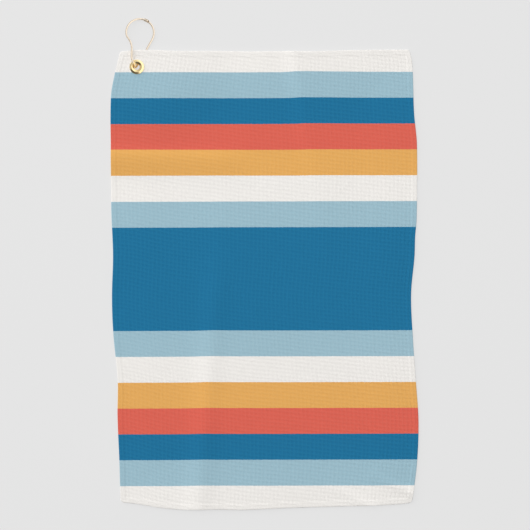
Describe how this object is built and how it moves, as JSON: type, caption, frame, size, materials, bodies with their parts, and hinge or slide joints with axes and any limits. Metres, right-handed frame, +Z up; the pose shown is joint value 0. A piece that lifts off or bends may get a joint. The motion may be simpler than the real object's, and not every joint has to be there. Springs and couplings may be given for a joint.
{
  "type": "golf towel",
  "caption": "Flat striped waffle towel with a folded hem, a round metal grommet in one corner and a pear-shaped wire hook for hanging it on a bag.",
  "frame": {"origin": "middle of the base of the whole object's box, on the surface that the towel lies on", "axes": "+Z up out of the printed face, +Y along the towel's length towards the hook end, +X to the right seen from above"},
  "size_m": [0.408, 0.6519, 0.0111],
  "materials": {
    "waffle_cloth": "matt printed waffle microfibre, white on the back",
    "hem_thread": "matt white polyester thread",
    "gold_plate": "polished gold plate"
  },
  "bodies": {
    "towel": {"towel_panel": "waffle_cloth", "hem_thread_top": "hem_thread", "hem_thread_bottom": "hem_thread", "hem_thread_left": "hem_thread", "hem_thread_right": "hem_thread", "grommet_eyelet": "gold_plate", "grommet_washer": "gold_plate"},
    "hook": {"hook_back": "gold_plate"},
    "hook_spring_arm": {"hook_arm": "gold_plate"}
  },
  "joints": [
    {"name": "hook_swivel", "type": "hinge", "parent": "towel", "child": "hook", "pos_m": [-0.1692, 0.2604, 0.0055], "axis": [0, 0, 1], "range_deg": [-20, 90]},
    {"name": "hook_arm_spring", "type": "hinge", "parent": "hook", "child": "hook_spring_arm", "pos_m": [-0.1711, 0.26, 0.0055], "axis": [1, 0, 0], "range_deg": [0, 25], "stiffness_Nm_per_rad": 0.3}
  ]
}
